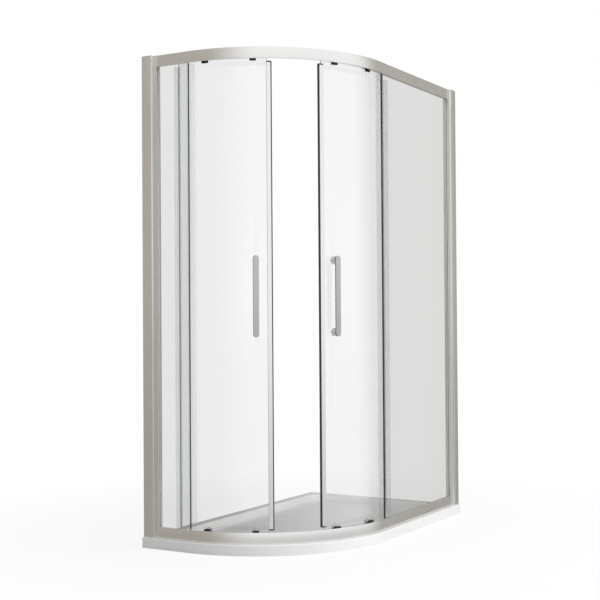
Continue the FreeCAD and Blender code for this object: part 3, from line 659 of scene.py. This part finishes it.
def bent_pane(side, holes, bend_step=6 * mm, hole_steps=20, nearly=0.98, merging=1e-7):
    """A drilled sheet, cut flat in strips and bent round the curve's centre."""
    end = math.radians(tip[side] - door_angle[side]) * door_middle
    lead = math.radians(tip[side]) * door_middle - (magnet_width + profile_width - profile_grip)
    count = round((lead - end) / bend_step)
    lines = [end + (lead - end) * step / count for step in range(count + 1)]
    spots, edges = [], []
    for line in lines:
        edges.append((len(spots), len(spots) + 1))
        spots += [(line, door_seat), (line, frame_height - door_seat)]
    edges += [(2 * step + rise, 2 * step + 2 + rise) for step in range(count) for rise in (0, 1)]
    for along, height, radius in holes:
        ring = [(along + radius * math.cos(t), height + radius * math.sin(t)) for t in all_round(hole_steps)]
        edges += [(len(spots) + step, len(spots) + (step + 1) % len(ring)) for step in range(len(ring))]
        spots += ring
    flat, _, sheets, *_ = delaunay_2d_cdt([Vector(s) for s in spots], edges, [], 0, merging)
    kept = []
    for sheet in sheets:
        middle = sum((flat[i] for i in sheet), Vector((0, 0))) / len(sheet)
        if all((middle - Vector((a, h))).length > r * nearly for a, h, r in holes):
            kept.append(list(sheet))
    half = len(flat)
    points = []
    for radius in (door_front, door_back):
        for along, height in flat:
            turn = along / door_middle
            points.append(spot(side, -radius * math.cos(turn), -radius * math.sin(turn), height))
    faces = kept + [[half + i for i in sheet][::-1] for sheet in kept]
    uses = {}
    for sheet in kept:
        for a, b in zip(sheet, sheet[1:] + sheet[:1]):
            uses.setdefault(frozenset((a, b)), []).append((a, b))
    faces += [(b, a, half + a, half + b) for found in uses.values() if len(found) == 1 for a, b in found]
    return points, faces


def arrised(mesh, width):
    """Break the sharp edges of a pane all round."""
    work = bmesh.new()
    work.from_mesh(mesh)
    break_edges(work, width, arris_crease)
    work.to_mesh(mesh)
    work.free()
    mesh.set_sharp_from_angle(angle=math.radians(pane_crease))


door_face = glass_face("door_glass_clear", (0.962, 0.964, 0.963), mirror=0.08)
# Painted light: the door's glass edges get a pale colour to lift the shade they lie in behind the fixed
# panes.
door_edge_painted_light = glass_edge("door_glass_edge", (0.72, 0.76, 0.76), (0.82, 0.86, 0.86))
for side in ("left", "right"):
    place = {name: math.radians(tip[side] - angle) * door_middle for name, angle in
             (("handle", handle_angle), ("front", front_roller), ("rear", rear_roller))}
    holes = [(place["handle"], handle_height + lift, handle_hole) for lift in leg_lifts]
    for name in ("front", "rear"):
        holes += [(place[name], frame_height - wheel_height, wheel_hole),
                  (place[name], release_height, release_hole)]
        holes += [(place[name] + shift, screw_height, screw_hole) for shift in (-screw_offset, screw_offset)]
    points, faces = bent_pane(side, holes)
    pane = solid(side + "_door_pane", points, faces, [door_face, door_edge_painted_light], crease=pane_crease)
    arrised(pane.data, ground_edge)
    for polygon in pane.data.polygons:
        middle = polygon.center - curve_centre
        outward = Vector((middle.x, middle.y, 0)).normalized()
        polygon.material_index = 0 if abs(polygon.normal.dot(outward)) > in_sheet else 1
    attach(pane, side + "_door")
    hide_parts(side + "_door_glass")


# ---- Leading profiles and door seals ----
# A plated channel with dark caps stiffens each door's leading edge and carries
# a magnet in a dark strip, so that the doors hold together when shut. The
# trailing edge wears a clear push-on seal with a fin towards the fixed pane.

profile_foot, magnet_foot = 52 * mm, 47 * mm
profile_depth, magnet_depth = 16 * mm, 6.6 * mm
magnet_neck, magnet_groove, magnet_corner = 1.6 * mm, 0.6 * mm, 0.35 * mm
door_seal_grip, fin_start, fin_end, fin_gap, fin_corner = 5 * mm, 4 * mm, 6 * mm, 4.75 * mm, 0.3 * mm


def door_upright(side, name, corners, radii, foot, material):
    """An upright on a door from radii and lengths back from its tip."""
    outline = []
    for radius, back_from_tip in corners:
        turn = math.radians(tip[side] - math.degrees(back_from_tip / door_middle))
        outline.append((-radius * math.cos(turn), -radius * math.sin(turn)))
    points, faces = upright(side, rounded(outline, radii), foot)
    return solid(side + name, points, faces, [material])


polish, bench = new_finish("profile_chrome")
draw, film = grain(bench, 1.0, 3.0, (700, 700, 3)), grain(bench, 1.0, 3.0, (6, 6, 2))
coated(bench, {
    "Base Color": bench.blend(film, (0.80, 0.80, 0.80), (0.89, 0.89, 0.885)),
    "Metallic": 1.0,
    "Roughness": 0.09 + 0.06 * film + 0.05 * draw,
    "Normal": relief(bench, draw, 0.06),
})
cap_dark = finish("moulded_dark_grey", (0.10, 0.10, 0.10), (0.15, 0.15, 0.15),
                  roughness=(0.34, 0.12), drift=(30.0, 2.0), texture=(900.0, 2.0), raised=0.15)
magnet = finish("magnet_vinyl", (0.028, 0.029, 0.032), (0.055, 0.056, 0.06), roughness=(0.35, 0.2),
                drift=(1.0, 2.0, (800, 800, 3)), raised=0.2, distance=0.2 * mm)
door_vinyl = vinyl("door_seal_vinyl", (0.92, 0.92, 0.925), (0.86, 0.86, 0.87), clearness=0.84)
profile_end = magnet_width + profile_width
glass_end = profile_end - profile_grip
for side in ("left", "right"):
    body = side + "_door"
    front, back = door_middle + profile_depth / 2, door_middle - profile_depth / 2
    corners = [
        (front, magnet_width), (front, profile_end), (door_front, profile_end), (door_front, glass_end),
        (door_back, glass_end), (door_back, profile_end), (back, profile_end), (back, magnet_width),
    ]
    softness = [2.2 * mm, 1.2 * mm, 0.4 * mm, 0.3 * mm, 0.3 * mm, 0.4 * mm, 1.2 * mm, 2.2 * mm]
    profile = door_upright(side, "_leading_profile", corners, softness, profile_foot, polish)
    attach(profile, body)
    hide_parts(side + "_edge_profile")
    ends = softened(side + "_edge_profile_caps", side + "_leading_caps", 0.7 * mm, cap_dark)
    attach(ends, body)
    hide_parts(side + "_edge_profile_caps")
    front, back = door_middle + magnet_depth / 2, door_middle - magnet_depth / 2
    groove_end = magnet_neck + magnet_groove
    corners = [
        (front, 0), (front, magnet_neck), (front - magnet_groove, magnet_neck),
        (front - magnet_groove, groove_end), (front, groove_end), (front, magnet_width),
        (back, magnet_width), (back, groove_end), (back + magnet_groove, groove_end),
        (back + magnet_groove, magnet_neck), (back, magnet_neck), (back, 0),
    ]
    softness = [magnet_corner] * len(corners)
    strip = door_upright(side, "_magnet_strip", corners, softness, magnet_foot, magnet)
    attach(strip, body)
    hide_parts(side + "_magnet_seal")
    pane_end = math.radians(door_angle[side]) * door_middle
    arm_front, arm_back = door_middle + seal_wall / 2, door_middle - seal_wall / 2
    front, back, fin_tip = door_front + seal_wall, door_back - seal_wall, fixed_glass_back - fin_gap
    corners = [
        (front, -door_seal_grip), (door_front, -door_seal_grip), (door_front, 0), (door_back, 0),
        (door_back, -door_seal_grip), (back, -door_seal_grip), (back, seal_wall), (arm_back, seal_wall),
        (arm_back, fin_end), (fin_tip, fin_end), (fin_tip, fin_start), (arm_front, fin_start),
        (arm_front, seal_wall), (front, seal_wall),
    ]
    corners = [(radius, pane_end + back_along) for radius, back_along in corners]
    softness = [fin_corner] * len(corners)
    seal = door_upright(side, "_door_seal", corners, softness, seal_foot, door_vinyl)
    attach(seal, body)
    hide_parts(side + "_trailing_seal")


# ---- Handles ----
# A flat steel grip with round ends stands on two block legs, clamped through
# the glass by a screw that is sunk in a backing disc at each end. The grip is
# brushed along its length, and the legs and discs are a paler satin.

handle_length, handle_width, handle_thickness, stand_off = 305 * mm, 22 * mm, 8 * mm, 26 * mm
grip_rim = 2 * mm
leg_width, leg_height, leg_corner = 16 * mm, 30 * mm, 2.5 * mm
leg_break, leg_flange, leg_waist, leg_flare = 0.5 * mm, 1.5 * mm, 0.6 * mm, 0.4 * mm
disc_radius, disc_thickness, screw_bore = 7.5 * mm, 3 * mm, 3 * mm
disc_gap, disc_break, disc_rim, disc_cut = 0.25 * mm, 0.4 * mm, 0.8 * mm, 0.3 * mm
head_radius, head_depth = 6 * mm, 2 * mm


def placed(side, bearing, radius, along, height):
    """A point of a piece drawn at bearing 0, turned to its own bearing on its side."""
    turn = math.radians(bearing)
    x = -radius * math.cos(turn) - along * math.sin(turn)
    y = -radius * math.sin(turn) + along * math.cos(turn)
    return spot(side, x, y, height)


def turned_ring(profile, put, count=40):
    """Points and faces of a ring turned from a closed profile of radius and depth pairs."""
    rings = [circle(radius, depth, all_round(count)) for radius, depth in profile + profile[:1]]
    return [put(*point) for ring in rings for point in ring], bridged(rings)


def joined(parts):
    """Several closed shapes as the points and faces of one piece."""
    points, faces = [], []
    for more_points, more_faces in parts:
        faces += [tuple(len(points) + index for index in face) for face in more_faces]
        points = points + more_points
    return points, faces


def rim_layers(inner, outer, rim, steps=5):
    """Insets and depths of a slab whose two rims are rounded."""
    turns = [math.pi / 2 * step / steps for step in range(steps + 1)]
    layers = [(rim * (1 - math.sin(turn)), inner + rim * (1 - math.cos(turn))) for turn in turns]
    return layers + [(inset, inner + outer - depth) for inset, depth in reversed(layers)]


def slab(put, width, height, corner, layers, bore=0.0):
    """A round-cornered slab from insets and depths, with a round bore where one is given."""
    side, rise = width / 2 - corner, height / 2 - corner
    places = ((side, rise, 0), (-side, rise, 90), (-side, -rise, 180), (side, -rise, 270))
    rings = []
    for inset, depth in layers:
        line = []
        for along, up, start in places:
            line += arc((along, up), corner - inset, start, start + 90, corner_steps)
        rings.append([(along, up, depth) for along, up in line])
    if bore:
        turns = [math.atan2(up, along) for along, up, _ in rings[0]]
        rings += [circle(bore, layers[-1][1], turns), circle(bore, layers[0][1], turns), rings[0]]
    faces = bridged(rings) if bore else capped(rings)
    return [put(*point) for ring in rings for point in ring], faces


satin_steel, bench = new_finish("handle_satin")
draw, haze = grain(bench, 1.0, 3.0, (900, 900, 8)), grain(bench, 22.0, 3.0)
coated(bench, {
    "Base Color": bench.blend(0.6 * draw + 0.4 * haze, (0.50, 0.49, 0.47), (0.62, 0.61, 0.59)),
    "Metallic": 1.0,
    "Roughness": 0.24 + 0.10 * draw + 0.08 * haze,
    "Normal": relief(bench, draw, 0.12),
})
leg_steel = finish("leg_satin", (0.90, 0.89, 0.875), (0.96, 0.95, 0.935), metallic=0.2,
                   roughness=(0.42, 0.12), drift=(260.0, 3.0))
for side in ("left", "right"):
    body, bearing = side + "_door", tip[side] - handle_angle

    def on_handle(along, height, radius):
        return placed(side, bearing, radius, along, handle_height + height)

    foot, head = door_front, door_front + stand_off
    grip_layers = rim_layers(head, head + handle_thickness, grip_rim)
    points, faces = slab(on_handle, handle_width, handle_length, handle_width / 2, grip_layers)
    bar = solid(side + "_handle_grip", points, faces, [satin_steel], crease=40)
    leg_layers = [
        (leg_break, foot), (0, foot + leg_break), (0, foot + leg_flange),
        (leg_waist, foot + leg_flange + leg_waist), (leg_waist, head - leg_flare),
        (leg_waist - leg_flare, head),
    ]
    front, rear = door_back - disc_gap, door_back - disc_thickness
    disc_profile = [
        (screw_bore, front), (disc_radius - disc_break, front), (disc_radius, front - disc_break),
        (disc_radius, rear + disc_rim), (disc_radius - disc_cut, rear + disc_cut),
        (disc_radius - disc_rim, rear), (head_radius, rear), (head_radius, rear + head_depth),
        (screw_bore, rear + head_depth),
    ]
    legs, discs = [], []
    for lift in leg_lifts:
        def on_leg(along, height, radius):
            return placed(side, bearing, radius, along, handle_height + lift + height)
        legs.append(slab(on_leg, leg_width, leg_height, leg_corner, leg_layers, screw_bore))
        discs.append(turned_ring(disc_profile, on_leg))
    legs = solid(side + "_handle_feet", *joined(legs), [leg_steel], crease=50)
    discs = solid(side + "_backing_discs", *joined(discs), [leg_steel], crease=50)
    for piece, node, slot in ((bar, "handle_bar", "chrome_plate"), (legs, "handle_legs", "chrome_plate"),
                              (discs, "handle_discs", "chrome_plate")):
        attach(piece, body)
        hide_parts(side + "_" + node)


# ---- Rollers ----
# Eight nylon wheels run in the tracks, on plates that are moulded in black.
# The upper ones turn on fixed bolts. The lower ones hang on sprung sliders, so
# that the buttons inside let the doors swing free for cleaning.

black_mould = finish("roller_black", (0.012, 0.012, 0.013), (0.03, 0.03, 0.031),
                     roughness=(0.18, 0.2), drift=(60.0, 3.0), texture=(1200.0, 1.0))
cover_satin = finish("release_cover_satin", (0.74, 0.74, 0.735), (0.84, 0.84, 0.835), metallic=0.4,
                     roughness=(0.32, 0.14), drift=(80.0, 3.0))
nylon = finish("wheel_nylon", (0.66, 0.66, 0.64), (0.80, 0.80, 0.78),
               roughness=(0.35, 0.2), drift=(120.0, 3.0), distance=0.2 * mm)
roller_parts = [
    ("top_brackets", "upper_roller_plates", "door", black_mould, "chrome_plate", 0.6 * mm),
    ("top_axles", "upper_roller_bolts", "door", plating, "chrome_plate", 0.4 * mm),
    ("bottom_brackets", "lower_roller_plates", "door", black_mould, "chrome_plate", 0.6 * mm),
    ("release_housings", "release_covers", "door", cover_satin, "chrome_plate", 0.8 * mm),
]
for end in ("front", "rear"):
    for node, name, material, slot, width in (
        ("release_slider_" + end, end + "_release_button", cover_satin, "chrome_plate", 0.4 * mm),
        ("top_wheel_" + end, "upper_" + end + "_wheel", nylon, "nylon_wheel", 0.3 * mm),
        ("bottom_wheel_" + end, "lower_" + end + "_wheel", nylon, "nylon_wheel", 0.3 * mm),
    ):
        roller_parts.append((node, name, node, material, slot, width))
for side in ("left", "right"):
    for node, name, body, material, slot, width in roller_parts:
        piece = softened(side + "_" + node, side + "_" + name, width, material)
        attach(piece, side + "_" + body)
        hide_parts(side + "_" + node)


# ---- Screws, angle brackets and stops ----
# Stainless screws clamp the handles and rollers through the glass and lock the
# posts in their channels. Four angle brackets tie the rails to the posts, and a
# rubber block in each track stops the doors.

post_screw_heights, post_screw_back, post_face = (250 * mm, 925 * mm, 1600 * mm), 26 * mm, 516 * mm
cover_depth, shank_length = 11 * mm, 25 * mm
turned_steel = finish("turned_steel", (0.50, 0.50, 0.50), (0.66, 0.66, 0.655), metallic=1.0,
                      roughness=(0.2, 0.15), drift=(500.0, 2.0))
bench, given = new_tree("set_screws", [("Screw", "NodeSocketObject"), ("Material", "NodeSocketMaterial")])
facing = bench.add("GeometryNodeInputNamedAttribute", {"data_type": "FLOAT_VECTOR"}, {"Name": "facing"})
turn = bench.add("FunctionNodeAlignRotationToVector", {"axis": "Z"}, {"Vector": facing})
screw = bench.add("GeometryNodeObjectInfo", {}, {"Object": given.out("Screw")}).out("Geometry")
many = bench.add("GeometryNodeInstanceOnPoints", {}, {
    "Points": given.out("Geometry"), "Instance": screw, "Rotation": turn})
screw_tree = close_tree(bench, many, given.out("Material"))


def screw_pattern(name, head, thickness, shank, length, dome, count=24, dome_steps=3):
    """One screw: its head's underside at 0, a hexagon socket, the shank below."""
    socket, depth, sixth = head * 0.42, thickness * 0.55, math.pi / 3
    turns = all_round(count)
    rings = [circle(shank, -length, turns), circle(shank, 0, turns), circle(head, 0, turns)]
    for step in range(dome_steps + 1):
        lean = math.pi / 2 * step / dome_steps
        level = thickness - dome * (1 - math.sin(lean))
        rings.append(circle(head - dome * (1 - math.cos(lean)), level, turns))
    hexagon = [socket / math.cos((t + sixth / 2) % sixth - sixth / 2) for t in turns]
    for level in (thickness, thickness - depth):
        rings.append([(r * math.cos(t), r * math.sin(t), level) for r, t in zip(hexagon, turns)])
    return solid(name, [point for ring in rings for point in ring], capped(rings), [turned_steel])


def set_screws(name, places, pattern):
    """Screws at points, each with the direction its head faces, as one mesh."""
    mesh = bpy.data.meshes.new(name + "_places")
    mesh.from_pydata([tuple(point) for point, _ in places], [], [])
    ways = mesh.attributes.new("facing", "FLOAT_VECTOR", "POINT")
    ways.data.foreach_set("vector", [value for _, way in places for value in way])
    thing = in_scene(name + "_places", mesh)
    piece = grown(thing, screw_tree, {"Screw": pattern, "Material": turned_steel}, name)
    bpy.data.objects.remove(pattern)
    return piece


def inward(side, bearing):
    """The way from a door's face at a bearing to the curve's centre."""
    return placed(side, bearing, 0, 0, 0) - placed(side, bearing, 1, 0, 0)


def one_piece(name, pieces):
    """Several finished pieces as one new piece, in their place."""
    work = bmesh.new()
    for piece in pieces:
        work.from_mesh(piece.data)
    mesh = bpy.data.meshes.new(name)
    work.to_mesh(mesh)
    work.free()
    for piece in pieces:
        bpy.data.objects.remove(piece)
    return shaped(name, mesh, [turned_steel])


for side in ("left", "right"):
    bearing, seat = tip[side] - handle_angle, door_back - disc_thickness + head_depth
    big = [(placed(side, bearing, seat, 0, handle_height + lift), inward(side, bearing))
           for lift in leg_lifts]
    small = []
    for roller in (front_roller, rear_roller):
        for shift in (-screw_offset, screw_offset):
            here = tip[side] - roller
            small.append((placed(side, here, door_back - cover_depth, shift, screw_height),
                          inward(side, here)))
    handle_pattern = screw_pattern("handle_screw", head=head_radius, thickness=head_depth,
                                   shank=screw_bore, length=shank_length, dome=0.3 * mm)
    roller_pattern = screw_pattern("roller_screw", head=3.5 * mm, thickness=1.5 * mm,
                                   shank=2 * mm, length=shank_length, dome=0.7 * mm)
    screws = one_piece(side + "_door_fixings", [
        set_screws(side + "_handle_screws", big, handle_pattern),
        set_screws(side + "_roller_screws", small, roller_pattern),
    ])
    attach(screws, side + "_door")
    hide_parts(side + "_door_screws")

places = []
for side in ("left", "right"):
    for height in post_screw_heights:
        places.append((placed(side, 0, post_face, reach[side] - post_screw_back, height), inward(side, 0)))
post_pattern = screw_pattern("post_screw", head=4 * mm, thickness=1.6 * mm,
                             shank=2 * mm, length=4.3 * mm, dome=0.8 * mm)
post_fixings = set_screws("post_fixings", places, post_pattern)
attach(post_fixings, "frame")
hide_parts("post_screws")
for node, name, material, slot in (
    ("rail_end_brackets", "rail_angles", turned_steel, "steel_screw"),
    ("rail_end_screws", "rail_angle_screws", turned_steel, "steel_screw"),
    ("door_stops", "track_stops", pale_rubber_painted_light, "grey_rubber"),
):
    piece = softened(node, name, 0.3 * mm, material)
    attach(piece, "frame")
    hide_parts(node)


# ---- Studio ----
# The enclosure stands on a plain white floor in front of white, under a wide
# overhead lamp and another from the right. Three tall flats stand round it out
# of view, two warm grey and a dark one behind, for bright metal and glass alone.

camera_place, lens, sensor = (-4.24270, -2.42225, 0.88456), 70.297, 36.0
yaw, pitch, roll = 0.52873, 0.01385, -0.00679
ahead = Vector((math.cos(yaw) * math.cos(pitch), math.sin(yaw) * math.cos(pitch), math.sin(pitch)))
across = Vector((math.sin(yaw), -math.cos(yaw), 0))
above = across.cross(ahead)
right = across * math.cos(roll) + above * math.sin(roll)
up = above * math.cos(roll) - across * math.sin(roll)
camera = in_scene("camera", bpy.data.cameras.new("camera"))
camera.data.lens, camera.data.sensor_width, camera.data.clip_end = lens, sensor, 200.0
axes = [(right[row], up[row], -ahead[row], camera_place[row]) for row in range(3)]
camera.matrix_world = Matrix((*axes, (0, 0, 0, 1)))
bpy.context.scene.camera = camera


def plain_sight(bench):
    """1 where the camera looks, straight, off a shine or through glass, else 0."""
    path = bench.add("ShaderNodeLightPath", {}, {})
    return (path.out("Is Camera Ray") + path.out("Is Glossy Ray") + path.out("Is Transmission Ray")).held()


world = bpy.data.worlds.new("studio")
bpy.context.scene.world = world
world.use_nodes = True
world.node_tree.nodes.clear()
bench = Bench(world.node_tree)
fill, under_dim, horizon_fade = 0.36, 0.38, 0.20
up_way = bench.add("ShaderNodeTexCoord", {}, {}).out("Generated").axis("Z")
shine = bench.add("ShaderNodeLightPath", {}, {}).out("Is Glossy Ray")
below = (up_way / -horizon_fade).held() * shine
strength = fill + (1 - fill) * plain_sight(bench) - under_dim * below
light = bench.add("ShaderNodeBackground", {}, {"Color": (1, 1, 1, 1), "Strength": strength})
bench.add("ShaderNodeOutputWorld", {}, {"Surface": light})


def card(name, points, faces, material):
    """A flat thing of the studio, which is no part of the object."""
    mesh = bpy.data.meshes.new(name)
    mesh.from_pydata([tuple(point) for point in points], [], faces)
    mesh.materials.append(material)
    thing = in_scene(name, mesh)
    return thing


floor_half, cover_near, cover_start, cover_run = 40.0, 0.82, 0.9, 0.9
floor_white, bench = new_finish("floor_white")
paint = bench.add("ShaderNodeBsdfDiffuse", {}, {"Color": (0.90, 0.90, 0.90, 1)})
bright = bench.add("ShaderNodeEmission", {}, {"Color": (1, 1, 1, 1), "Strength": 1.0})
place = bench.add("ShaderNodeTexCoord", {}, {}).out("Object")
distance = bench.add("ShaderNodeVectorMath", {"operation": "LENGTH"}, {0: place}).out("Value")
far = ((distance - cover_start) / cover_run).held()
cover = (cover_near + (1 - cover_near) * far) * plain_sight(bench)
both = bench.add("ShaderNodeMixShader", {}, {0: cover, 1: paint, 2: bright})
bench.add("ShaderNodeOutputMaterial", {}, {"Surface": both})
floor_corners = [(x * floor_half, y * floor_half, 0) for x, y in ((-1, -1), (1, -1), (1, 1), (-1, 1))]
floor = card("studio_floor", floor_corners, [(0, 1, 2, 3)], floor_white)
floor.visible_glossy = False
flat_reach, flat_steps = 7.0, 24
low_start, low_depth, low_dim, margin, full_turn = 0.9, 2.3, 0.18, 40.0, 360.0


def flat(name, start, end, soft, lean, shade):
    """A tall bent screen between two compass angles, seen in shine alone, one edge fading out."""
    material, bench = new_finish(name)
    place = bench.add("ShaderNodeTexCoord", {}, {}).out("Object")
    turn = place.axis("Y").math("ARCTAN2", place.axis("X")) * (180 / math.pi)
    turn = (turn + 2 * full_turn - min(start, end) + margin).math("MODULO", full_turn) - margin
    low = ((low_start - place.axis("Z")) / low_depth).held()
    inside = abs(end - start) - turn if end > start else turn
    fade = ((inside - lean * low) / soft).held()
    glow = bench.add("ShaderNodeEmission", {}, {"Color": (*shade, 1.0), "Strength": 1.0 - low_dim * low})
    clear = bench.add("ShaderNodeBsdfTransparent", {}, {"Color": (1, 1, 1, 1)})
    both = bench.add("ShaderNodeMixShader", {}, {0: fade, 1: clear, 2: glow})
    bench.add("ShaderNodeOutputMaterial", {}, {"Surface": both})
    line = arc((0, 0), flat_reach, start, end, flat_steps)
    points = [(x, y, z) for z in (-flat_reach, flat_reach) for x, y in line]
    over = len(line)
    faces = [(i, i + 1, over + i + 1, over + i) for i in range(flat_steps)]
    thing = card(name, points, faces, material)
    thing.visible_camera = thing.visible_diffuse = thing.visible_shadow = thing.visible_transmission = False


flat("left_flat", start=95, end=199, soft=30.0, lean=6.0, shade=(0.445, 0.418, 0.38))
flat("right_flat", start=385, end=302, soft=16.0, lean=12.0, shade=(0.45, 0.435, 0.40))
flat("back_flat", start=94, end=22, soft=14.0, lean=0.0, shade=(0.06, 0.06, 0.06))


def lamp(name, place, aim, size, power):
    """A square soft lamp that is turned towards its aim and isn't mirrored itself."""
    data = bpy.data.lights.new(name, "AREA")
    data.shape, data.size, data.energy = "SQUARE", size, power
    thing = in_scene(name, data)
    thing.location = place
    thing.rotation_euler = (Vector(aim) - Vector(place)).to_track_quat("-Z", "Y").to_euler()
    thing.visible_glossy = False


lamp("overhead_lamp", place=(-0.6, -0.8, 5.0), aim=(0, 0, 0.5), size=4.0, power=118)
lamp("right_lamp", place=(0.8, -5.0, 2.6), aim=(0, 0, 0.8), size=3.0, power=165)
bpy.context.scene.view_settings.view_transform = "Standard"
